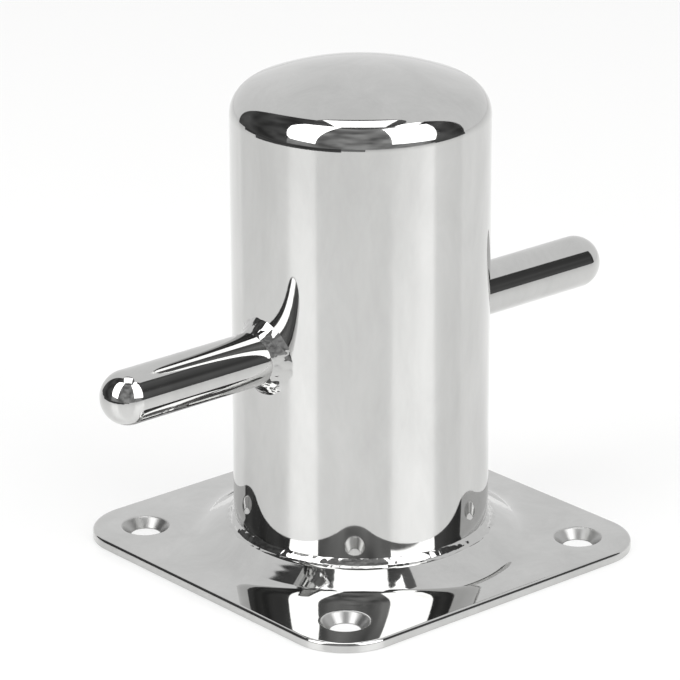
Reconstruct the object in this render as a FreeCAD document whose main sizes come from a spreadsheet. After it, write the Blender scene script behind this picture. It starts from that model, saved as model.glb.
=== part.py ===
import FreeCAD, Part
import Sketcher
import math
import os

# Cross bollard: a drawn square base plate, an upright tube with a dished cap,
# and one round bar through the tube, all welded and mirror polished.
# Origin: centre of the plate's underside. +Z up, bar along X, plate sides along X and Y.

DRIVING_SIZES = {
    # base plate, pressed from one sheet, with a raised hub under the tube
    "plate_side": 125,
    "plate_thickness": 3,
    "corner_radius": 18,
    "top_edge_radius": 1,
    "under_edge_chamfer": 0.4,
    "hub_rise": 5.5,
    "hub_ledge": 0.2,
    "hub_inner_bend": 1,
    "hub_clearance": 3,
    # four countersunk holes for M8 screws, inset from both sides of each corner
    "bolt_inset": 16.5,
    "bolt_hole": 9,
    "countersink": 14.5,
    "countersink_angle": 90,
    # upright tube and its dished cap
    "post_diameter": 76.1,
    "post_wall": 2,
    "total_height": 149,
    "crown_radius": 85,
    "knuckle_radius": 9,
    "cap_skirt": 6,
    "seam_root_face": 0.5,
    # round bar with ball ends
    "bar_diameter": 16,
    "bar_length": 190,
    "bar_height": 68.5,
    "bar_clearance": 0.1,
    # weld beads, ground low; a fullness of 0.5 would be a flat face and 0.71 a round one
    "foot_bead_width": 3.2,
    "foot_bead_height": 2,
    "bar_bead": 4.4,
    "bead_fullness": 0.6,
}

CLOSE = 1e-4  # lengths nearer than this count as equal
QUARTER = math.pi / 2

doc = FreeCAD.newDocument("cross_bollard")
sheet = doc.addObject("Spreadsheet::Sheet", "Sizes")
for row, (alias, value) in enumerate(DRIVING_SIZES.items(), start=1):
    sheet.set(f"A{row}", alias)
    sheet.set(f"B{row}", str(value))
    sheet.setAlias(f"B{row}", alias)
doc.recompute()

# Levels and radii that several pieces share, as expressions on the sheet
POST_R = "Sizes.post_diameter / 2"
POST_BORE_R = f"({POST_R} - Sizes.post_wall)"
BAR_R = "Sizes.bar_diameter / 2"
BAR_HOLE_R = f"{BAR_R} + Sizes.bar_clearance"
HUB_TOP = "(Sizes.plate_thickness + Sizes.hub_rise)"
HUB_LEDGE_R = f"({POST_R} + Sizes.hub_ledge)"
HUB_BEND = "(Sizes.hub_inner_bend + Sizes.plate_thickness)"
# The hub's flare runs out level just short of the countersinks, which gives its radius
HOLE_PLACE = "(Sizes.plate_side / 2 - Sizes.bolt_inset)"
HUB_FOOT_R = f"(sqrt(2) * {HOLE_PLACE} - Sizes.countersink / 2 - Sizes.hub_clearance)"
HUB_REACH = f"({HUB_FOOT_R} - {HUB_LEDGE_R})"
FLARE_R = f"(({HUB_REACH}^2 + Sizes.hub_rise^2) / (2 * Sizes.hub_rise) - {HUB_BEND})"
# The cap's crown arc and knuckle arc meet in a tangent, which fixes the knuckle's centre
KNUCKLE_X = f"({POST_R} - Sizes.knuckle_radius)"
CROWN_Z = "(Sizes.total_height - Sizes.crown_radius)"
KNUCKLE_Z = f"({CROWN_Z} + sqrt((Sizes.crown_radius - Sizes.knuckle_radius)^2 - {KNUCKLE_X}^2))"
SEAM_Z = f"({KNUCKLE_Z} - Sizes.cap_skirt)"
SEAM_BEVEL = "(Sizes.post_wall - Sizes.seam_root_face)"


def value_of(expression):
    """The number that a sheet expression gives now."""
    result = sheet.evalExpression(expression)
    return float(getattr(result, "Value", result))


def line(x1, y1, x2, y2):
    return Part.LineSegment(FreeCAD.Vector(x1, y1, 0), FreeCAD.Vector(x2, y2, 0))


def circle(x, y, radius):
    return Part.Circle(FreeCAD.Vector(x, y, 0), FreeCAD.Vector(0, 0, 1), radius)


def arc(x, y, radius, start, end):
    return Part.ArcOfCircle(circle(x, y, radius), start, end)


def new_body(label):
    body = doc.addObject("PartDesign::Body", label)
    body.Label = label
    return body


def new_sketch(body, name, plane, lift=None):
    """A sketch on one of the body's own origin planes, lifted along its normal."""
    sketch = body.newObject("Sketcher::SketchObject", name)
    origin_plane = next(f for f in body.Origin.OriginFeatures if f.Role == plane)
    sketch.AttachmentSupport = [(origin_plane, "")]
    sketch.MapMode = "FlatFace"
    if lift:
        sketch.setExpression("AttachmentOffset.Base.z", lift)
    return sketch


def bind(sketch, constraint, expression):
    """Adds a dimension whose value is a sheet expression."""
    kind, *where = constraint
    index = sketch.addConstraint(Sketcher.Constraint(kind, *where, value_of(expression)))
    sketch.setExpression(f"Constraints[{index}]", expression)


def place(sketch, edge, end, across, up):
    """Holds one end of an edge at (across, up) from the origin; "0" means on the axis."""
    if across == "0":
        sketch.addConstraint(Sketcher.Constraint("PointOnObject", edge, end, -2))
    elif across is not None:
        bind(sketch, ("DistanceX", -1, 1, edge, end), across)
    if up == "0":
        sketch.addConstraint(Sketcher.Constraint("PointOnObject", edge, end, -1))
    elif up is not None:
        bind(sketch, ("DistanceY", -1, 1, edge, end), up)


def polygon(sketch, corners):
    """A closed outline of straight edges; each corner is a pair of expressions."""
    points = [FreeCAD.Vector(value_of(x), value_of(y), 0) for x, y in corners]
    count = len(points)
    for i in range(count):
        sketch.addGeometry(Part.LineSegment(points[i], points[(i + 1) % count]))
    for i in range(count):
        sketch.addConstraint(Sketcher.Constraint("Coincident", i, 2, (i + 1) % count, 1))
    for i, (across, up) in enumerate(corners):
        place(sketch, i, 1, across, up)


def revolve(body, kind, name, sketch, axis):
    """kind is Revolution, which adds, or Groove, which cuts. axis is V_Axis or H_Axis."""
    feature = body.newObject(f"PartDesign::{kind}", name)
    feature.Profile = sketch
    feature.ReferenceAxis = (sketch, [axis])
    feature.Angle = 360
    sketch.Visibility = False
    return feature


def cut_through(body, name, sketch):
    """Pockets a sketch right through the body, both ways, and checks that it cut."""
    doc.recompute()
    before = body.Shape.Volume
    pocket = body.newObject("PartDesign::Pocket", name)
    pocket.Profile = sketch
    pocket.Type = "ThroughAll"
    pocket.SideType = "Symmetric"
    doc.recompute()
    if body.Shape.Volume >= before:
        raise RuntimeError(f"{name} cut nothing")
    return pocket


def at_height(edge, z):
    box = edge.BoundBox
    return abs(box.ZMin - z) < CLOSE and abs(box.ZMax - z) < CLOSE


def break_edges(body, kind, name, size, test):
    """Puts a Fillet or a Chamfer on the edges of the body's tip that pass the test."""
    doc.recompute()
    base = body.Tip
    names = [f"Edge{i}" for i, edge in enumerate(base.Shape.Edges, start=1) if test(edge)]
    if not names:
        raise RuntimeError(f"{name} found no edge")
    feature = body.newObject(f"PartDesign::{kind}", name)
    feature.Base = (base, names)
    feature.setExpression("Radius" if kind == "Fillet" else "Size", f"Sizes.{size}")
    return feature


def hub_outline(sketch, top, bend_radius, flare_radius, foot):
    """Half section of the hub: level top, convex bend, concave flare that runs out level.

    The recess below the hub has the same outline one sheet thickness lower, its
    arcs changed by that thickness, as a pressing leaves it."""
    top_z, bend, flare, foot_z = map(value_of, (top, bend_radius, flare_radius, foot))
    ledge = value_of(HUB_LEDGE_R)
    slope = math.acos(1 - (top_z - foot_z) / (bend + flare))
    run_out = ledge + (bend + flare) * math.sin(slope)
    corners = [(ledge, top_z), (0, top_z), (0, 0), (run_out, 0), (run_out, foot_z)]
    if foot == "0":
        corners.pop()
    for start, end in zip(corners, corners[1:]):
        sketch.addGeometry(line(*start, *end))
    lines = len(corners) - 1
    low = 3 * QUARTER  # where a circle is lowest
    flare_arc = sketch.addGeometry(arc(run_out, foot_z + flare, flare, low - slope, low))
    bend_arc = sketch.addGeometry(arc(ledge, top_z - bend, bend, QUARTER - slope, QUARTER))
    relations = [("Coincident", i, 2, i + 1, 1) for i in range(lines - 1)]
    relations += [
        ("Coincident", lines - 1, 2, flare_arc, 2),
        ("Tangent", flare_arc, 1, bend_arc, 1),
        ("Tangent", bend_arc, 2, 0, 1),
        ("Vertical", flare_arc, 3, flare_arc, 2),
        ("Horizontal", 0),
        ("PointOnObject", 0, 2, -2),
        ("Coincident", 1, 2, -1, 1),
        ("PointOnObject", 2, 2, -1),
    ]
    if foot != "0":
        relations.append(("Vertical", 3))
    for relation in relations:
        sketch.addConstraint(Sketcher.Constraint(*relation))
    place(sketch, 0, 1, HUB_LEDGE_R, top)
    bind(sketch, ("Radius", bend_arc), bend_radius)
    bind(sketch, ("Radius", flare_arc), flare_radius)
    if foot != "0":
        place(sketch, flare_arc, 2, None, foot)


def bead_outline(sketch, corner, width, height, upright):
    """A bead's section about the corner of a joint, its flat side upright or level."""
    full = "Sizes.bead_fullness"
    steps = [("0", "1"), (full, full), ("1", "0"), (full, f"-{full}"), ("0", "-1")]
    if not upright:
        steps = [(y, x) for x, y in steps]
    across, up = corner
    polygon(sketch, [(f"{across} + {x} * {width}", f"{up} + {y} * {height}") for x, y in steps])


def make_base_plate():
    body = new_body("base_plate")

    outline = new_sketch(body, "PlateOutline", "XY_Plane")
    half = value_of("Sizes.plate_side / 2")
    corner = value_of("Sizes.corner_radius")
    inner = half - corner
    for side in range(4):
        turn = side * QUARTER
        cos, sin = round(math.cos(turn)), round(math.sin(turn))
        ends = [(cos * x + sin * half, sin * x - cos * half) for x in (-inner, inner)]
        outline.addGeometry(line(*ends[0], *ends[1]))
        centre = (inner * (cos + sin), inner * (sin - cos))
        outline.addGeometry(arc(*centre, corner, turn - QUARTER, turn))
    for edge in range(8):
        ends = (edge, 2, (edge + 1) % 8, 1)
        outline.addConstraint(Sketcher.Constraint("Tangent", *ends))
    for edge, direction in ((0, "Horizontal"), (2, "Vertical"), (4, "Horizontal"), (6, "Vertical")):
        outline.addConstraint(Sketcher.Constraint(direction, edge))
    for bend in (3, 5, 7):
        outline.addConstraint(Sketcher.Constraint("Equal", 1, bend))
    outline.addConstraint(Sketcher.Constraint("Symmetric", 1, 3, 5, 3, -1, 1))
    bind(outline, ("Radius", 1), "Sizes.corner_radius")
    bind(outline, ("DistanceX", 6, 1, 2, 1), "Sizes.plate_side")
    bind(outline, ("DistanceY", 0, 1, 4, 1), "Sizes.plate_side")
    pad = body.newObject("PartDesign::Pad", "PlatePad")
    pad.Profile = outline
    pad.setExpression("Length", "Sizes.plate_thickness")
    outline.Visibility = False

    hub = new_sketch(body, "HubOutline", "XZ_Plane")
    hub_outline(hub, HUB_TOP, HUB_BEND, FLARE_R, "Sizes.plate_thickness")
    revolve(body, "Revolution", "Hub", hub, "V_Axis")

    recess = new_sketch(body, "RecessOutline", "XZ_Plane")
    inner_flare = f"{FLARE_R} + Sizes.plate_thickness"
    hub_outline(recess, "Sizes.hub_rise", "Sizes.hub_inner_bend", inner_flare, "0")
    revolve(body, "Groove", "Recess", recess, "V_Axis")
    doc.recompute()

    hole_place = new_sketch(body, "HolePlace", "XY_Plane", lift="Sizes.plate_thickness")
    middle = value_of(HOLE_PLACE)
    hole_place.addGeometry(circle(middle, middle, value_of("Sizes.bolt_hole / 2")))
    place(hole_place, 0, 3, HOLE_PLACE, HOLE_PLACE)
    bind(hole_place, ("Radius", 0), "Sizes.bolt_hole / 2")
    doc.recompute()
    hole = body.newObject("PartDesign::Hole", "BoltHole")
    hole.Profile = hole_place
    hole.DepthType = "ThroughAll"
    hole.HoleCutType = "Countersink"
    hole.HoleCutCustomValues = True
    hole.setExpression("Diameter", "Sizes.bolt_hole")
    hole.setExpression("HoleCutDiameter", "Sizes.countersink")
    hole.setExpression("HoleCutCountersinkAngle", "Sizes.countersink_angle")
    hole_place.Visibility = False
    doc.recompute()
    holes = body.newObject("PartDesign::PolarPattern", "BoltHoles")
    holes.Originals = [hole]
    holes.Axis = (hole_place, ["N_Axis"])
    holes.Angle = 360
    holes.Occurrences = 4
    body.Tip = holes

    def on_outline(edge):
        box = edge.BoundBox
        reach = max(abs(box.XMin), abs(box.XMax), abs(box.YMin), abs(box.YMax))
        return reach > value_of("Sizes.plate_side / 2") - CLOSE

    top = value_of("Sizes.plate_thickness")
    break_edges(body, "Fillet", "TopEdge", "top_edge_radius",
                lambda edge: at_height(edge, top) and on_outline(edge))
    break_edges(body, "Chamfer", "UnderEdge", "under_edge_chamfer",
                lambda edge: at_height(edge, 0) and on_outline(edge))
    return body


def make_post_tube():
    body = new_body("post_tube")
    wall = new_sketch(body, "WallSection", "XZ_Plane")
    polygon(wall, [
        (POST_BORE_R, HUB_TOP),
        (POST_R, HUB_TOP),
        (POST_R, f"{SEAM_Z} - {SEAM_BEVEL}"),
        (f"{POST_R} - {SEAM_BEVEL}", SEAM_Z),
        (POST_BORE_R, SEAM_Z),
    ])
    revolve(body, "Revolution", "Tube", wall, "V_Axis")
    hole = new_sketch(body, "BarHole", "YZ_Plane")
    hole.addGeometry(circle(0, value_of("Sizes.bar_height"), value_of(BAR_HOLE_R)))
    place(hole, 0, 3, "0", "Sizes.bar_height")
    bind(hole, ("Radius", 0), BAR_HOLE_R)
    cut_through(body, "BarHoles", hole)
    return body


def make_dome_cap():
    """A pressed dished end: short straight skirt, knuckle, shallow crown."""
    body = new_body("dome_cap")
    section = new_sketch(body, "CapSection", "XZ_Plane")
    radius, seam = value_of(POST_R), value_of(SEAM_Z)
    knuckle_x, knuckle_z = value_of(KNUCKLE_X), value_of(KNUCKLE_Z)
    crown_z = value_of(CROWN_Z)
    wall, bevel = value_of("Sizes.post_wall"), value_of(SEAM_BEVEL)
    lean = math.atan2(knuckle_z - crown_z, knuckle_x)
    crown, knuckle = value_of("Sizes.crown_radius"), value_of("Sizes.knuckle_radius")
    total = crown_z + crown
    (
        skirt, outer_knuckle, outer_crown, middle, inner_crown, inner_knuckle, bore, root, slant,
    ) = (section.addGeometry(edge) for edge in (
        line(radius, seam + bevel, radius, knuckle_z),
        arc(knuckle_x, knuckle_z, knuckle, 0, lean),
        arc(0, crown_z, crown, lean, QUARTER),
        line(0, total, 0, total - wall),
        arc(0, crown_z, crown - wall, lean, QUARTER),
        arc(knuckle_x, knuckle_z, knuckle - wall, 0, lean),
        line(radius - wall, knuckle_z, radius - wall, seam),
        line(radius - wall, seam, radius - bevel, seam),
        line(radius - bevel, seam, radius, seam + bevel),
    ))
    for relation in (
        ("Tangent", skirt, 2, outer_knuckle, 1),
        ("Tangent", outer_knuckle, 2, outer_crown, 1),
        ("Coincident", outer_crown, 2, middle, 1),
        ("Coincident", middle, 2, inner_crown, 2),
        ("Tangent", inner_crown, 1, inner_knuckle, 2),
        ("Tangent", inner_knuckle, 1, bore, 1),
        ("Coincident", bore, 2, root, 1),
        ("Coincident", root, 2, slant, 1),
        ("Coincident", slant, 2, skirt, 1),
        ("Coincident", inner_crown, 3, outer_crown, 3),
        ("Coincident", inner_knuckle, 3, outer_knuckle, 3),
        ("PointOnObject", outer_crown, 3, -2),
        ("PointOnObject", outer_crown, 2, -2),
        ("Vertical", skirt),
        ("Vertical", middle),
        ("Vertical", bore),
        ("Horizontal", root),
    ):
        section.addConstraint(Sketcher.Constraint(*relation))
    bind(section, ("Radius", outer_knuckle), "Sizes.knuckle_radius")
    bind(section, ("Radius", outer_crown), "Sizes.crown_radius")
    bind(section, ("DistanceY", inner_crown, 2, outer_crown, 2), "Sizes.post_wall")
    place(section, outer_crown, 2, None, "Sizes.total_height")
    place(section, skirt, 1, POST_R, f"{SEAM_Z} + {SEAM_BEVEL}")
    place(section, slant, 1, f"{POST_R} - {SEAM_BEVEL}", SEAM_Z)
    revolve(body, "Revolution", "Cap", section, "V_Axis")
    return body


def make_cap_weld():
    """Fills the V between tube and cap, ground flush."""
    body = new_body("cap_weld")
    section = new_sketch(body, "SeamSection", "XZ_Plane")
    polygon(section, [
        (POST_R, f"{SEAM_Z} - {SEAM_BEVEL}"),
        (POST_R, f"{SEAM_Z} + {SEAM_BEVEL}"),
        (f"{POST_R} - {SEAM_BEVEL}", SEAM_Z),
    ])
    revolve(body, "Revolution", "Seam", section, "V_Axis")
    return body


def make_foot_weld():
    """The bead round the tube's foot, lying in the corner on the hub."""
    body = new_body("foot_weld")
    bead = new_sketch(body, "BeadSection", "XZ_Plane")
    bead_outline(bead, (POST_R, HUB_TOP), "Sizes.foot_bead_width", "Sizes.foot_bead_height",
                 upright=True)
    revolve(body, "Revolution", "Bead", bead, "V_Axis")
    hub = new_sketch(body, "HubSection", "XZ_Plane")
    hub_outline(hub, HUB_TOP, HUB_BEND, FLARE_R, "Sizes.plate_thickness")
    revolve(body, "Groove", "SeatOnHub", hub, "V_Axis")
    return body


def make_cross_bar():
    body = new_body("cross_bar")
    body.setExpression("Placement.Base.z", "Sizes.bar_height")
    section = new_sketch(body, "BarSection", "XZ_Plane")
    radius = value_of(BAR_R)
    half = value_of("Sizes.bar_length / 2")
    corners = [(half, 0), (0, 0), (0, radius), (half - radius, radius)]
    for start, end in zip(corners, corners[1:]):
        section.addGeometry(line(*start, *end))
    ball = section.addGeometry(arc(half - radius, 0, radius, 0, QUARTER))
    for relation in (
        ("Coincident", 0, 2, 1, 1),
        ("Coincident", 1, 2, 2, 1),
        ("Tangent", 2, 2, ball, 2),
        ("Coincident", ball, 1, 0, 1),
        ("Coincident", 0, 2, -1, 1),
        ("Horizontal", 0),
        ("Vertical", 1),
        ("Horizontal", 2),
        ("PointOnObject", ball, 3, -1),
    ):
        section.addConstraint(Sketcher.Constraint(*relation))
    bind(section, ("Radius", ball), BAR_R)
    bind(section, ("DistanceX", -1, 1, 0, 1), "Sizes.bar_length / 2")
    half_bar = revolve(body, "Revolution", "HalfBar", section, "H_Axis")
    doc.recompute()
    whole = body.newObject("PartDesign::Mirrored", "WholeBar")
    whole.Originals = [half_bar]
    whole.MirrorPlane = (section, ["V_Axis"])
    body.Tip = whole
    return body


def make_bar_weld(label, turn):
    """The bead where the bar leaves the tube, trimmed to the tube's round wall."""
    body = new_body(label)
    body.setExpression("Placement.Base.z", "Sizes.bar_height")
    body.Placement.Rotation = FreeCAD.Rotation(FreeCAD.Vector(0, 0, 1), turn)
    bead = new_sketch(body, "BeadSection", "XY_Plane")
    bead_outline(bead, (POST_R, BAR_R), "Sizes.bar_bead", "Sizes.bar_bead", upright=False)
    revolve(body, "Revolution", "Bead", bead, "H_Axis")
    # Revolved from the side plane, so that the cutter's seam line misses the bead
    post = new_sketch(body, "PostSection", "YZ_Plane")
    reach = "Sizes.bar_diameter + Sizes.bar_bead"
    polygon(post, [("0", f"-({reach})"), (POST_R, f"-({reach})"), (POST_R, reach), ("0", reach)])
    revolve(body, "Groove", "SeatOnPost", post, "V_Axis")
    return body


parts = [
    make_base_plate(),
    make_post_tube(),
    make_dome_cap(),
    make_cap_weld(),
    make_cross_bar(),
    make_foot_weld(),
    make_bar_weld("bar_weld_right", 0),
    make_bar_weld("bar_weld_left", 180),
]
doc.recompute()

for item in doc.Objects:
    if "Invalid" in item.State or "Error" in item.State:
        raise RuntimeError(f"{item.Name} failed: {item.State}")
for body in parts:
    shape = body.Shape
    if shape.isNull() or not shape.isValid() or len(shape.Solids) != 1:
        raise RuntimeError(f"{body.Label} is not one valid solid")

os.makedirs("parts", exist_ok=True)
for body in parts:
    body.Shape.exportStep(f"parts/{body.Label}.step")
    print(f"{body.Label:15s} {body.Shape.Volume / 1000:8.2f} cm3  {len(body.Shape.Faces)} faces")
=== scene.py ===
import bpy
import math
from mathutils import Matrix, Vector


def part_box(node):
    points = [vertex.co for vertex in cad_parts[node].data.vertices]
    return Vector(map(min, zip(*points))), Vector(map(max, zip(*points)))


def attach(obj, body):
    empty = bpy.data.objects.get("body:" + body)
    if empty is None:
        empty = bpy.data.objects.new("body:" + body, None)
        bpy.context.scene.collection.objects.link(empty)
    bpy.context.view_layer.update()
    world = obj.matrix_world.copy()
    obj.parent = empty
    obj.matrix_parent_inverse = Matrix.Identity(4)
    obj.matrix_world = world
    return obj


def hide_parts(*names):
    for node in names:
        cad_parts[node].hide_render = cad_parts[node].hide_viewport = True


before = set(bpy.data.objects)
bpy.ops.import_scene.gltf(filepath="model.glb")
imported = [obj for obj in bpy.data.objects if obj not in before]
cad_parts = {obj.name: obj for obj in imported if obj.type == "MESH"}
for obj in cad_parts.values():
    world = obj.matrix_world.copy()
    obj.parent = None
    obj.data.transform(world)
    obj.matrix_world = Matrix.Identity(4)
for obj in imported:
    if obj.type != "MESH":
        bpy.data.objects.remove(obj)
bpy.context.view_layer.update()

mm = 0.001
around = 256  # steps round the post, a multiple of four
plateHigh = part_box("base_plate")[1]
tubeLow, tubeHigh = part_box("post_tube")
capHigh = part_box("dome_cap")[1]
barLow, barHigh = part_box("cross_bar")
postRadius = tubeHigh[0]
barRadius = (barHigh[2] - barLow[2]) / 2
barAxis = (barHigh[2] + barLow[2]) / 2
print("frame loaded,", len(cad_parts), "nodes")


# helpers for sections drawn in the XZ plane and turned into bodies
def clearAll():
    if bpy.context.mode != "OBJECT":
        bpy.ops.object.mode_set(mode="OBJECT")
    bpy.ops.object.select_all(action="DESELECT")


def pick(*objects):
    clearAll()
    for thing in objects:
        thing.select_set(True)
    bpy.context.view_layer.objects.active = objects[0]


def startSection(name, x, z):
    clearAll()
    bpy.ops.mesh.primitive_plane_add(size=mm, location=(x, 0, z))
    section = bpy.context.object
    section.name = name
    bpy.ops.object.transform_apply(location=True)
    bpy.ops.object.mode_set(mode="EDIT")
    bpy.ops.mesh.select_mode(type="VERT")
    bpy.ops.mesh.select_all(action="SELECT")
    bpy.ops.mesh.merge(type="CENTER")  # leaves one vertex to draw with
    return section


def lineBy(x, z):
    bpy.ops.mesh.extrude_region_move(TRANSFORM_OT_translate={"value": (x, 0, z)})


def arcBy(x, z, degrees, steps):  # positive turns from +X up to +Z
    bpy.ops.mesh.spin(steps=steps, angle=math.radians(degrees), center=(x, 0, z), axis=(0, 1, 0))


def arcTo(x1, z1, x2, z2, degrees, steps):  # from the first place to the second, bowing left when negative
    reach = 0.5 / math.tan(math.radians(degrees) / 2)
    arcBy((x1 + x2) / 2 - (z2 - z1) * reach, (z1 + z2) / 2 + (x2 - x1) * reach, degrees, steps)


def turnBody(center=(0, 0, 0), axis=(0, 0, 1), steps=around):
    bpy.ops.mesh.select_all(action="SELECT")
    bpy.ops.mesh.spin(steps=steps, angle=math.tau, center=center, axis=axis)
    closeMesh()
    bpy.ops.object.mode_set(mode="OBJECT")


def closeMesh():
    bpy.ops.mesh.select_all(action="SELECT")
    bpy.ops.mesh.remove_doubles(threshold=0.002 * mm)
    bpy.ops.mesh.normals_make_consistent(inside=False)


def applyModifier(thing, kind, **settings):
    pick(thing)
    modifier = thing.modifiers.new(kind.title(), kind)
    for key, value in settings.items():
        setattr(modifier, key, value)
    bpy.ops.object.modifier_apply(modifier=modifier.name)


def smoothOff(thing, degrees=30):  # smooth faces, crisp edges, flats kept flat
    pick(thing)
    bpy.ops.object.shade_smooth_by_angle(angle=math.radians(degrees))
    applyModifier(thing, "WEIGHTED_NORMAL", keep_sharp=True, weight=100)


def selectWhere(thing, kind, test):  # kind is "edges" or "polygons"
    bpy.ops.object.mode_set(mode="EDIT")
    bpy.ops.mesh.select_mode(type={"edges": "EDGE", "polygons": "FACE"}[kind])
    bpy.ops.mesh.select_all(action="DESELECT")
    bpy.ops.object.mode_set(mode="OBJECT")
    for item in getattr(thing.data, kind):
        item.select = test(item)
    bpy.ops.object.mode_set(mode="EDIT")


def refinish(thing, material, test):  # another finish on the faces that pass the test
    thing.data.materials.append(material)
    pick(thing)
    selectWhere(thing, "polygons", test)
    thing.active_material_index = len(thing.data.materials) - 1
    bpy.ops.object.material_slot_assign()
    bpy.ops.object.mode_set(mode="OBJECT")


def finishPiece(thing, node, material):
    thing.data.materials.clear()
    thing.data.materials.append(material)
    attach(thing, "root")
    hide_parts(node)
    print(node, len(thing.data.polygons), "faces")


# helpers for materials
def hexColor(text):
    channels = [int(text[i:i + 2], 16) / 255 for i in (1, 3, 5)]
    return [c / 12.92 if c <= 0.04045 else ((c + 0.055) / 1.055) ** 2.4 for c in channels] + [1]


def newMaterial(name):
    material = bpy.data.materials.new(name)
    material.use_nodes = True
    material.node_tree.nodes.clear()
    return material


def addNode(tree, kind, links=None, values=None, **settings):
    node = tree.nodes.new("ShaderNode" + kind)
    for key, value in settings.items():
        setattr(node, key, value)
    for key, value in (values or {}).items():
        node.inputs[key].default_value = value
    for key, source in (links or {}).items():
        tree.links.new(source, node.inputs[key])
    return node


# every finish is 316 stainless steel, told apart by how it was worked
polish = {
    "steel": "#BFBFBE",
    "waxedSteel": "#C9C9C8",
    "turnedSteel": "#AFAFAE",
    # painted shade: darker colour for the walls inside the drilled holes
    "drilledSteel": "#8F8F8E",
    # painted shade: near-black colour for the weld's gas pits
    "pitShade": "#3A3A39",
    "roughness": 0.03,
    "smearSize": 14 * mm,
    "swellSize": 16 * mm,  # slow waves that the polishing wheel leaves
    "swellDepth": 0.012 * mm,
    "lineSize": 0.9 * mm,  # the real lines are 0.05 mm apart, drawn coarser to show
    "lineDepth": 0.0015 * mm,
    "ringPitch": 2.4 * mm,  # rings of the wheel on the hub's flare
    "ringDepth": 0.005 * mm,
    "runOff": {"X": (14 * mm, 0.28 * mm), "Y": (20 * mm, 0.95 * mm)},  # width and fall towards the plate's edges
    "turnPitch": 0.5 * mm,  # the cutter's turning marks, 0.1 mm apart on the real one
    "turnDepth": 0.003 * mm,
    "pitSize": 2.2 * mm,
    "pitDepth": 0.05 * mm,
    "streakSize": 0.6 * mm,  # across the bead
    "streakLength": 8 * mm,
    "streakDepth": 0.03 * mm,
}


def newFinish(name):
    material = newMaterial(name)
    tree = material.node_tree
    return material, tree, addNode(tree, "TexCoord").outputs["Object"]


def steelSurface(tree, height, roughness, color=polish["steel"]):  # the height is in metres
    bump = addNode(tree, "Bump", {"Height": height}, {"Distance": 1})
    surface = addNode(tree, "BsdfPrincipled", {"Normal": bump.outputs["Normal"]},
                      {"Base Color": hexColor(color), "Metallic": 1, "Roughness": roughness})
    addNode(tree, "OutputMaterial", {"Surface": surface.outputs["BSDF"]})
    return surface


def blendFinish(tree, surface, share, colors, roughness):  # from the first colour and roughness to the second
    shade = addNode(tree, "Mix", {"Factor": share}, data_type="RGBA")
    for socket, color in zip("AB", colors):
        shade.inputs[socket].default_value = hexColor(color)
    dull = addNode(tree, "MapRange", {"Value": share}, {"To Min": roughness[0], "To Max": roughness[1]})
    tree.links.new(shade.outputs["Result"], surface.inputs["Base Color"])
    tree.links.new(dull.outputs["Result"], surface.inputs["Roughness"])


def waxOver(tree, place, surface):  # cloudy smears of polishing wax, paler and duller than the mirror between them
    stroke = addNode(tree, "Mapping", {"Vector": place}, {"Rotation": (0.5, 0.6, 0), "Scale": (1, 1, 0.3)})
    smear = addNode(tree, "TexNoise", {"Vector": stroke.outputs["Vector"]},
                    {"Scale": 1 / polish["smearSize"], "Detail": 6, "Roughness": 0.68, "Distortion": 0.4})
    film = addNode(tree, "MapRange", {"Value": smear.outputs["Fac"]}, {"From Min": 0.35, "From Max": 0.7})
    blendFinish(tree, surface, film.outputs["Result"], (polish["steel"], polish["waxedSteel"]),
                (polish["roughness"], 2 * polish["roughness"]))


def fromAxis(tree, place):  # distance from the post's axis
    flat = addNode(tree, "Mapping", {"Vector": place}, {"Scale": (1, 1, 0)})
    return addNode(tree, "VectorMath", {0: flat.outputs["Vector"]}, operation="LENGTH").outputs["Value"]


def mirrorSheet():  # pressed and mirror polished sheet: clear reflections that bend away towards the edges
    material, tree, place = newFinish("mirrorPolishedSheet")
    swell = addNode(tree, "TexNoise", {"Vector": place}, {"Scale": 1 / polish["swellSize"], "Detail": 1})
    height = addNode(tree, "Math", {0: swell.outputs["Fac"]}, {1: polish["swellDepth"]}, operation="MULTIPLY")
    rings = addNode(tree, "TexWave", {"Vector": place},
                    {"Scale": 0.314 / polish["ringPitch"], "Distortion": 2.5, "Detail": 1, "Detail Scale": 0.4},
                    wave_type="RINGS", rings_direction="Z")
    inner = addNode(tree, "MapRange", {"Value": fromAxis(tree, place)},
                    {"From Min": 54 * mm, "From Max": 45 * mm}, interpolation_type="SMOOTHSTEP")
    patch = addNode(tree, "MapRange", {"Value": swell.outputs["Fac"]},
                    {"From Min": 0.4, "From Max": 0.6, "To Min": 0.1})
    fade = addNode(tree, "Math", {0: inner.outputs["Result"], 1: patch.outputs["Result"]}, operation="MULTIPLY")
    faded = addNode(tree, "Math", {0: rings.outputs["Fac"], 1: fade.outputs[0]}, operation="MULTIPLY")
    height = addNode(tree, "Math", {0: faded.outputs[0], 2: height.outputs[0]}, {1: polish["ringDepth"]},
                     operation="MULTIPLY_ADD")
    sides = addNode(tree, "SeparateXYZ", {"Vector": place})
    for side, (width, drop) in polish["runOff"].items():  # where the wheel ran off over the edges
        far = addNode(tree, "Math", {0: sides.outputs[side]}, operation="ABSOLUTE")
        near = addNode(tree, "MapRange", {"Value": far.outputs[0]},
                       {"From Min": plateHigh[0] - width, "From Max": plateHigh[0]})
        curve = addNode(tree, "Math", {0: near.outputs["Result"]}, {1: 2}, operation="POWER")
        height = addNode(tree, "Math", {0: curve.outputs[0], 2: height.outputs[0]}, {1: -drop},
                         operation="MULTIPLY_ADD")
    waxOver(tree, place, steelSurface(tree, height.outputs[0], polish["roughness"]))
    return material


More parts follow.
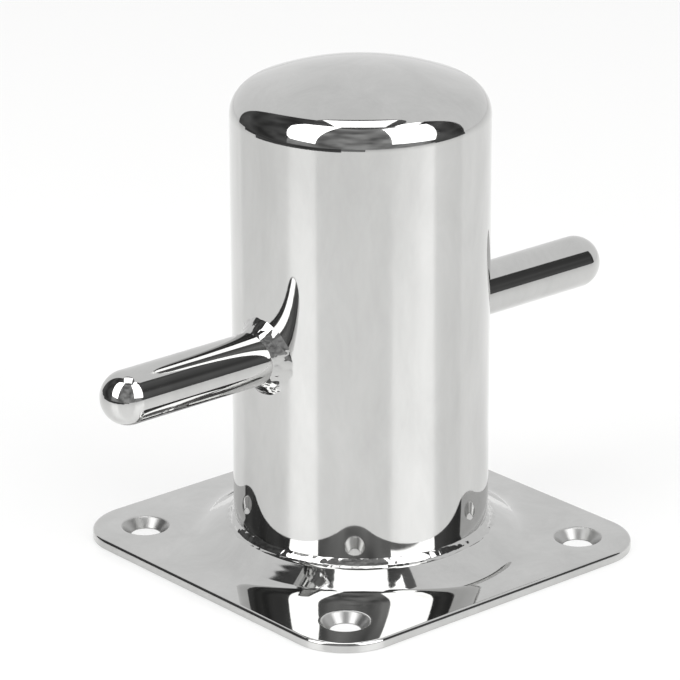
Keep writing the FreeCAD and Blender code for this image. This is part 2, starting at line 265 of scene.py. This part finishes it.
def mirrorTube(name, along):  # polished along its length: a mirror with fine lines and a slight haze
    material, tree, place = newFinish(name)
    stretch = addNode(tree, "Mapping", {"Vector": place}, {"Scale": along})
    lines = addNode(tree, "TexNoise", {"Vector": stretch.outputs["Vector"]},
                    {"Scale": 1 / polish["lineSize"], "Detail": 2})
    height = addNode(tree, "Math", {0: lines.outputs["Fac"]}, {1: polish["lineDepth"]}, operation="MULTIPLY")
    waxOver(tree, place, steelSurface(tree, height.outputs[0], polish["roughness"]))
    return material


def buffedWeld(name, streakDepth):  # dressed by hand and buffed: bright, streaked along the bead, small gas pits left, painted dark as painted shade in the pits
    material, tree, place = newFinish(name)
    cells = addNode(tree, "TexVoronoi", {"Vector": place}, {"Scale": 1 / polish["pitSize"]})
    chance = addNode(tree, "SeparateColor", {"Color": cells.outputs["Color"]})
    size = addNode(tree, "MapRange", {"Value": chance.outputs["Red"]}, {"From Min": 0.55, "To Max": 0.16})
    pit = addNode(tree, "Math", {0: cells.outputs["Distance"], 1: size.outputs["Result"]}, operation="LESS_THAN")
    spot = addNode(tree, "SeparateXYZ", {"Vector": place})
    back = addNode(tree, "Math", {0: spot.outputs["Y"]}, {1: -1}, operation="MULTIPLY")
    turn = addNode(tree, "Math", {0: spot.outputs["X"], 1: back.outputs[0]}, operation="ARCTAN2")
    run = addNode(tree, "Math", {0: turn.outputs[0]},
                  {1: postRadius * polish["streakSize"] / polish["streakLength"]}, operation="MULTIPLY")
    lengthwise = addNode(tree, "CombineXYZ",
                         {"X": fromAxis(tree, place), "Y": run.outputs[0], "Z": spot.outputs["Z"]})
    streaks = addNode(tree, "TexNoise", {"Vector": lengthwise.outputs["Vector"]},
                      {"Scale": 1 / polish["streakSize"], "Detail": 1})
    height = addNode(tree, "Math", {0: streaks.outputs["Fac"]}, {1: streakDepth}, operation="MULTIPLY")
    height = addNode(tree, "Math", {0: pit.outputs[0], 2: height.outputs[0]}, {1: -polish["pitDepth"]},
                     operation="MULTIPLY_ADD")
    surface = steelSurface(tree, height.outputs[0], 0.06)
    # the pits are painted dark as painted shade inside them; their depth and roughness are real
    blendFinish(tree, surface, pit.outputs[0], (polish["steel"], polish["pitShade"]), (0.06, 0.6))
    return material


def cutSteel(name, color, roughness):  # left as the cutter turned it: faint rings and a dull sheen
    material, tree, place = newFinish(name)
    marks = addNode(tree, "TexWave", {"Vector": place},
                    {"Scale": 0.314 / polish["turnPitch"], "Distortion": 1.2, "Detail": 1},
                    wave_type="BANDS", bands_direction="Z")
    height = addNode(tree, "Math", {0: marks.outputs["Fac"]}, {1: polish["turnDepth"]}, operation="MULTIPLY")
    steelSurface(tree, height.outputs[0], roughness, color)
    return material


plateSteel = mirrorSheet()
postSteel = mirrorTube("mirrorPolishedTube", (1, 1, 0.02))
barSteel = mirrorTube("mirrorPolishedBar", (0.02, 1, 1))
footSteel = buffedWeld("buffedFootWeld", polish["streakDepth"])
barWeldSteel = buffedWeld("buffedBarWeld", 0)
sinkSteel = cutSteel("turnedCountersink", polish["turnedSteel"], 0.33)
# the hole walls are painted darker than the steel as painted shade inside the holes; their roughness and turning
# rings are the real drilled finish
boreSteelPaintedShade = cutSteel("drilledHoleWall", polish["drilledSteel"], 0.4)
print("materials ready")


# base plate: pressed sheet with a raised hub and four countersunk holes
plate = {
    "thickness": 3 * mm,
    "corner": 18 * mm,
    "topRound": 1 * mm,
    "underRound": 0.4 * mm,
    "holeInset": 16.5 * mm,
    "holeRadius": 4.5 * mm,
    "sinkRadius": 7.25 * mm,
    "rimRound": 0.6 * mm,
    "hubClearance": 3.4 * mm,
    "bendRadius": 4 * mm,
    "flare": ((36 * mm, 2), (20 * mm, 4), (12 * mm, 22.5)),  # radius and degrees, from the foot inwards
}


def makePlate():
    half, thick = plateHigh[0], plate["thickness"]
    hubTop = plateHigh[2]
    clearAll()
    bpy.ops.mesh.primitive_cube_add(size=1, location=(0, 0, thick / 2), scale=(2 * half, 2 * half, thick))
    sheet = bpy.context.object
    sheet.name = "basePlate"
    bpy.ops.object.transform_apply(location=True, scale=True)
    points = sheet.data.vertices

    selectWhere(sheet, "edges", lambda e: abs(points[e.vertices[0]].co.z - points[e.vertices[1]].co.z) > thick / 2)
    bpy.ops.mesh.bevel(offset=plate["corner"], segments=32, affect="EDGES")
    for level, size, steps in ((thick, plate["topRound"], 8), (0, plate["underRound"], 3)):
        bpy.ops.object.mode_set(mode="OBJECT")
        points = sheet.data.vertices
        selectWhere(sheet, "edges", lambda e: all(abs(points[v].co.z - level) < 0.01 * mm for v in e.vertices))
        bpy.ops.mesh.bevel(offset=size, segments=steps, affect="EDGES")
    bpy.ops.object.mode_set(mode="OBJECT")

    # countersunk holes, one cutter copied to the corners
    spot, radius, sink = half - plate["holeInset"], plate["holeRadius"], plate["sinkRadius"]
    coneDepth = sink - radius  # 45 degree flank
    over = 1 * mm
    cutter = startSection("holeCutter", 0, -over)
    lineBy(radius, 0)
    lineBy(0, over + thick - coneDepth)
    lineBy(coneDepth + over, coneDepth + over)
    lineBy(-sink - over, 0)
    turnBody(steps=96)
    cutter.location = (spot, spot, 0)
    copies = [cutter]
    for x, y in ((-spot, spot), (-spot, -spot), (spot, -spot)):
        pick(cutter)
        bpy.ops.object.duplicate()
        bpy.context.object.location = (x, y, 0)
        copies.append(bpy.context.object)
    pick(*copies)
    bpy.ops.object.join()
    bpy.ops.object.transform_apply(location=True)
    cutter = bpy.context.object
    applyModifier(sheet, "BOOLEAN", operation="DIFFERENCE", object=cutter, solver="EXACT")
    bpy.data.objects.remove(cutter)

    def onRim(edge):
        spots = [sheet.data.vertices[v].co for v in edge.vertices]
        return all(abs(math.hypot(abs(p.x) - spot, abs(p.y) - spot) - sink) < 0.02 * mm
                   and abs(p.z - thick) < 0.01 * mm for p in spots)

    selectWhere(sheet, "edges", onRim)
    bpy.ops.mesh.bevel(offset=plate["rimRound"], segments=4, affect="EDGES")
    bpy.ops.object.mode_set(mode="OBJECT")

    # the pressed hub's profile
    foot = math.sqrt(2) * spot - sink - plate["hubClearance"]
    bend = plate["bendRadius"]
    arcs = []  # centre and turn of each
    x, z, lean = foot, thick, 0
    for reach, degrees in plate["flare"]:
        x, z = x + reach * math.sin(lean), z + reach * math.cos(lean)
        arcs.append((x, z, degrees))
        lean += math.radians(degrees)
        x, z = x - reach * math.sin(lean), z - reach * math.cos(lean)
    rise = hubTop - z - bend * (1 - math.cos(lean))
    run = rise / math.tan(lean)  # straight flank between the flare and the bend
    ledge = x - run - bend * math.sin(lean)

    # opening for the hub, its wall taken out again so that the pressed hub joins on
    clearAll()
    bpy.ops.mesh.primitive_cylinder_add(vertices=around, radius=foot, depth=4 * thick)
    opening = bpy.context.object
    applyModifier(sheet, "BOOLEAN", operation="DIFFERENCE", object=opening, solver="EXACT")
    bpy.data.objects.remove(opening)
    selectWhere(sheet, "polygons", lambda p: abs(math.hypot(p.center.x, p.center.y) - foot) < 0.05 * mm)
    bpy.ops.mesh.delete(type="FACE")
    bpy.ops.object.mode_set(mode="OBJECT")

    turn = math.degrees(lean)
    hub = startSection("hub", foot, thick)
    for x, z, degrees in arcs:
        arcBy(x, z, -degrees, 6 + round(degrees))
    lineBy(-run, rise)
    arcBy(ledge, hubTop - bend, turn, 24)
    lineBy(-ledge, 0)
    lineBy(0, -thick)
    lineBy(ledge, 0)
    arcBy(ledge, hubTop - bend, -turn, 12)
    lineBy(run, -rise)
    for x, z, degrees in reversed(arcs):
        arcBy(x, z, degrees, 4 + round(degrees / 2))
    turnBody()
    pick(sheet, hub)
    bpy.ops.object.join()
    bpy.ops.object.mode_set(mode="EDIT")
    closeMesh()
    smoothOff(sheet, 25)
    finishPiece(sheet, "base_plate", plateSteel)

    def fromHole(face):
        return math.hypot(abs(face.center.x) - spot, abs(face.center.y) - spot)

    refinish(sheet, sinkSteel, lambda p: radius < fromHole(p) < sink and 0.5 < p.normal.z < 0.9)
    refinish(sheet, boreSteelPaintedShade, lambda p: fromHole(p) < radius + 0.01 * mm and abs(p.normal.z) < 0.1)


# post: tube, dished cap, and the seam between them ground flush
post = {
    "wall": 2 * mm,
    "rootFace": 0.5 * mm,
    "crownRadius": 85 * mm,
    "knuckleRadius": 9 * mm,
    "skirt": 6 * mm,
}


def makePost():
    outer, wall = postRadius, post["wall"]
    bevel = wall - post["rootFace"]
    top, crown, knuckle = capHigh[2], post["crownRadius"], post["knuckleRadius"]
    knuckleX = outer - knuckle
    lean = math.acos(knuckleX / (crown - knuckle))
    knuckleZ = top - crown + (crown - knuckle) * math.sin(lean)
    seam = knuckleZ - post["skirt"]
    foot = tubeLow[2]

    tube = startSection("postTube", outer, foot)
    lineBy(0, seam - bevel - foot)
    lineBy(-bevel, bevel)
    lineBy(bevel - wall, 0)
    lineBy(0, foot - seam)
    lineBy(wall, 0)
    turnBody()
    smoothOff(tube)
    finishPiece(tube, "post_tube", postSteel)

    turn = math.degrees(lean)
    cap = startSection("dishedCap", outer, seam + bevel)
    lineBy(0, post["skirt"] - bevel)
    arcBy(knuckleX, knuckleZ, turn, 40)
    arcBy(0, top - crown, 90 - turn, 24)
    lineBy(0, -wall)
    arcBy(0, top - crown, turn - 90, 12)
    arcBy(knuckleX, knuckleZ, -turn, 16)
    lineBy(0, -post["skirt"])
    lineBy(wall - bevel, 0)
    lineBy(bevel, bevel)
    turnBody()
    smoothOff(cap)
    finishPiece(cap, "dome_cap", postSteel)

    ring = startSection("capSeam", outer, seam - bevel)
    lineBy(0, 2 * bevel)
    lineBy(-bevel, -bevel)
    lineBy(bevel, -bevel)
    turnBody()
    smoothOff(ring)
    finishPiece(ring, "cap_weld", postSteel)


# cross bar: round bar with ball ends
def makeBar():
    half = barHigh[0]
    bar = startSection("crossBar", half, barAxis)
    arcBy(half - barRadius, barAxis, 90, 32)
    lineBy(2 * (barRadius - half), 0)
    arcBy(barRadius - half, barAxis, 90, 32)
    turnBody(center=(0, 0, barAxis), axis=(1, 0, 0), steps=128)
    smoothOff(bar)
    finishPiece(bar, "cross_bar", barSteel)


# weld beads, laid by hand in overlapping puddles, then dressed and buffed
bead = {
    "footWidth": 3.5 * mm,
    "footHeight": 2.2 * mm,
    "barWidth": 4.6 * mm,  # along the bar
    "barHeight": 4.4 * mm,  # up the tube's wall
    "sink": 0.3 * mm,
    "puddle": 3 * mm,
    "facet": 1.2 * mm,
    "footDepths": (0.18 * mm, 0.04 * mm),  # of the puddles and of the file's facets
    "barDepths": (0.35 * mm, 0.1 * mm),
}


def roughen(thing, kind, size, depth):
    texture = bpy.data.textures.new(thing.name + kind.title(), kind)
    texture.noise_scale = size
    applyModifier(thing, "DISPLACE", texture=texture, texture_coords="LOCAL", strength=depth, mid_level=0.4)


def dressBead(ring, node, depths, material):
    roughen(ring, "VORONOI", bead["puddle"], -depths[0])  # domes with creases between them
    roughen(ring, "CLOUDS", bead["facet"], depths[1])
    smoothOff(ring, 60)
    finishPiece(ring, node, material)


def makeFootWeld():
    sink, hubTop = bead["sink"], plateHigh[2]
    top = (postRadius - sink, hubTop + bead["footHeight"])
    middle = (postRadius + 1.25 * mm, hubTop + 0.3 * mm)
    toe = (postRadius + bead["footWidth"], hubTop - 0.9 * mm - sink)  # on the hub's flank
    ring = startSection("footWeld", *top)
    arcTo(*top, *middle, -30, 12)
    arcTo(*middle, *toe, -12, 12)
    lineBy(-1.5 * mm, -0.6 * mm)
    lineBy(top[0] - toe[0] + 1.5 * mm, 0.4 * mm)
    lineBy(0, top[1] - toe[1] + 0.2 * mm)
    turnBody(steps=1440)
    dressBead(ring, "foot_weld", bead["footDepths"], footSteel)


def makeBarWelds():
    sink, turns = bead["sink"], 320
    top = barAxis + barRadius
    toe = (postRadius + bead["barWidth"], top - sink)
    head = (postRadius - 2.2 * mm, top + bead["barHeight"] + 2.2 * mm)
    right = startSection("barWeldRight", *toe)
    arcTo(*toe, *head, -30, 24)
    lineBy(0, toe[1] - head[1])
    lineBy(toe[0] - head[0], 0)

    def wallPlace(turn):  # the tube's wall falls away to the bar's sides
        aside = (barRadius + 3 * mm) * math.sin(math.tau * turn / turns)
        return math.sqrt(postRadius ** 2 - aside ** 2)

    bpy.ops.mesh.select_all(action="SELECT")
    for turn in range(turns):
        bpy.ops.mesh.extrude_region_move()
        bpy.ops.transform.rotate(value=math.tau / turns, orient_axis="X", center_override=(0, 0, barAxis))
        bpy.ops.transform.translate(value=(wallPlace(turn + 1) - wallPlace(turn), 0, 0))
    closeMesh()
    bpy.ops.object.mode_set(mode="OBJECT")
    pick(right)
    bpy.ops.object.duplicate()
    left = bpy.context.object
    left.name = "barWeldLeft"
    left.rotation_euler.z = math.pi
    bpy.ops.object.transform_apply(rotation=True)
    dressBead(right, "bar_weld_right", bead["barDepths"], barWeldSteel)
    dressBead(left, "bar_weld_left", bead["barDepths"], barWeldSteel)


makePlate()
makePost()
makeBar()
makeFootWeld()
makeBarWelds()
print("object modelled")


# camera, placed where the photograph was taken from
view = {
    "azimuth": -41.07,
    "elevation": 23.34,
    "distance": 1214.9 * mm,
    "lens": 213.7,
    "aim": (-4.6 * mm, 4.0 * mm, 64.2 * mm),
    "roll": -0.17,
}


def fromView(azimuth, elevation, distance):  # azimuth 0 is towards the camera, + to its right
    flat, rise = math.radians(azimuth + view["azimuth"]), math.radians(elevation)
    return distance * Vector((math.sin(flat) * math.cos(rise), -math.cos(flat) * math.cos(rise), math.sin(rise)))


def makeCamera():
    place = fromView(0, view["elevation"], view["distance"])
    bpy.ops.object.camera_add(location=place)
    camera = bpy.context.object
    camera.data.lens = view["lens"]
    camera.rotation_euler = (Vector(view["aim"]) - place).to_track_quat("-Z", "Y").to_euler()
    camera.rotation_euler.rotate_axis("Z", math.radians(view["roll"]))
    bpy.context.scene.camera = camera


# studio: pale floor, three soft boxes and the dark end of the room behind the camera
studio = {
    "floor": "#F7F7F6",
    "floorWidth": 6.0,
    "floorRoughness": 0.27,  # a sheet of white acrylic, so the soft boxes streak it
    "floorGloss": 2.0,  # index of refraction of the glossy skin
    "cameraGlow": 0.98,  # the floor's own light, and its share, for what the camera and the mirrors see
    "cameraShare": 0.6,
    "mirrorGlow": 1.15,
    "mirrorShare": 0.3,
    "distance": 1.3,
    "boxes": (
        {"name": "softLeft", "azimuth": -59.9, "elevation": 42.0, "lean": {"Z": 13.4, "X": 3.0, "Y": 34.6},
         "wide": 0.75, "high": 1.35, "light": 3.4},
        {"name": "softRight", "azimuth": 57.0, "elevation": 51.4, "lean": {"Z": -108.0, "X": 3.7, "Y": 33.5},
         "wide": 1.63, "high": 0.76, "light": 3.2},
        {"name": "softTop", "azimuth": 180, "elevation": 89.0, "lean": {}, "wide": 0.6, "high": 0.6, "light": 2.6},
    ),
    "roomRadius": 1.6,
    "room": (
        {"name": "roomLeft", "from": -128, "to": -65, "low": 0, "high": 70, "shade": 0.08},
        {"name": "roomMiddle", "from": -65, "to": 62, "low": 0, "high": 70, "shade": 0.3},
        {"name": "roomRight", "from": 62, "to": 99, "low": 0, "high": 60, "shade": 0.09},
        {"name": "roomOver", "from": -180, "to": 180, "low": 70, "high": 90, "shade": 0.1},
    ),
    "tableEnds": (  # beyond these distances the pale floor gives way to the dark room
        {"name": "endFarLeft", "from": -128, "to": -116, "near": 1.3, "shade": 0.07},
        {"name": "endMidLeft", "from": -116, "to": -100, "near": 0.75, "shade": 0.07},
        {"name": "endLeft", "from": -100, "to": -16, "near": 0.48, "shade": 0.08},
        {"name": "endFront", "from": -16, "to": 4, "near": 0.62, "shade": 0.25},
        {"name": "endRight", "from": 66, "to": 100, "near": 1.0, "shade": 0.1},
    ),
    "backdrop": 0.92,
    "fill": 0.45,
}


def makeLamps():
    for box in studio["boxes"]:
        place = fromView(box["azimuth"], box["elevation"], studio["distance"])
        bpy.ops.object.light_add(type="AREA", location=place)
        lamp = bpy.context.object
        lamp.name = box["name"]
        lamp.rotation_euler = (-place).to_track_quat("-Z", "Y").to_euler()
        for axis, degrees in box["lean"].items():
            lamp.rotation_euler.rotate_axis(axis, math.radians(degrees))
        lamp.data.shape = "RECTANGLE"
        lamp.data.size, lamp.data.size_y = box["wide"], box["high"]
        lamp.data.energy = box["light"] * math.pi * box["wide"] * box["high"]


def clothPaint(part):  # black cloth and the room behind it, uneven and seen only in the mirror
    paint, tree, place = newFinish(part["name"] + "Cloth")
    folds = addNode(tree, "TexNoise", {"Vector": place}, {"Scale": 2.2, "Detail": 1})
    shade = addNode(tree, "MapRange", {"Value": folds.outputs["Fac"]}, {
        "From Min": 0.3, "From Max": 0.7, "To Min": part["shade"] * 0.5, "To Max": part["shade"] * 1.5})
    glow = addNode(tree, "Emission", {"Strength": shade.outputs["Result"]})
    addNode(tree, "OutputMaterial", {"Surface": glow.outputs["Emission"]})
    return paint


def turnPanel(panel, part):  # swings the drawn line round from one azimuth to the other
    bpy.ops.mesh.select_all(action="SELECT")
    bpy.ops.mesh.spin(steps=72, angle=math.radians(part["from"] - part["to"]), center=(0, 0, 0), axis=(0, 0, 1))
    bpy.ops.object.mode_set(mode="OBJECT")
    panel.rotation_euler.z = math.radians(part["from"] + view["azimuth"] - 90)
    panel.data.materials.append(clothPaint(part))
    for seenBy in ("camera", "diffuse", "shadow", "transmission", "volume_scatter"):
        setattr(panel, "visible_" + seenBy, False)


def makeRoom():
    radius = studio["roomRadius"]
    for part in studio["room"]:
        low = math.radians(part["low"])
        wall = startSection(part["name"], radius * math.cos(low), radius * math.sin(low))
        arcBy(0, 0, part["high"] - part["low"], 36)
        turnPanel(wall, part)
    for part in studio["tableEnds"]:
        end = startSection(part["name"], part["near"], mm)
        lineBy(studio["floorWidth"] / 2 - part["near"], 0)
        turnPanel(end, part)


def makeFloor():
    clearAll()
    bpy.ops.mesh.primitive_plane_add(size=studio["floorWidth"])
    floor = bpy.context.object
    floor.name = "floor"
    card = newMaterial("whiteAcrylicSheet")
    tree = card.node_tree
    surface = addNode(tree, "BsdfPrincipled", values={
        "Base Color": hexColor(studio["floor"]), "Roughness": studio["floorRoughness"], "IOR": studio["floorGloss"]})
    path = addNode(tree, "LightPath")
    level = addNode(tree, "MapRange", {"Value": path.outputs["Is Camera Ray"]},
                    {"To Min": studio["mirrorGlow"], "To Max": studio["cameraGlow"]})
    glow = addNode(tree, "Emission", {"Strength": level.outputs["Result"]})
    mirror = addNode(tree, "Math", {0: path.outputs["Is Glossy Ray"]}, {1: studio["mirrorShare"]},
                     operation="MULTIPLY")
    part = addNode(tree, "MapRange", {"Value": path.outputs["Is Camera Ray"], "To Min": mirror.outputs[0]},
                   {"To Max": studio["cameraShare"]})
    mix = addNode(tree, "MixShader", {0: part.outputs["Result"], 1: surface.outputs[0], 2: glow.outputs[0]})
    addNode(tree, "OutputMaterial", {"Surface": mix.outputs[0]})
    floor.data.materials.append(card)


def makeWorld():
    world = bpy.data.worlds.new("studio")
    world.use_nodes = True
    bpy.context.scene.world = world
    tree = world.node_tree
    tree.nodes.clear()
    path = addNode(tree, "LightPath")
    mirror = addNode(tree, "Math", {0: path.outputs["Is Camera Ray"], 1: path.outputs["Is Glossy Ray"]},
                     operation="MAXIMUM")
    seen = addNode(tree, "Math", {0: mirror.outputs[0], 1: path.outputs["Is Transmission Ray"]},
                   operation="MAXIMUM")
    level = addNode(tree, "MapRange", {"Value": seen.outputs[0]},
                    {"To Min": studio["fill"], "To Max": studio["backdrop"]})
    light = addNode(tree, "Background", {"Strength": level.outputs["Result"]}, {"Color": (1, 1, 1, 1)})
    addNode(tree, "OutputWorld", {"Surface": light.outputs[0]})


makeCamera()
makeLamps()
makeRoom()
makeFloor()
makeWorld()
bpy.context.scene.view_settings.view_transform = "Standard"
print("studio ready")
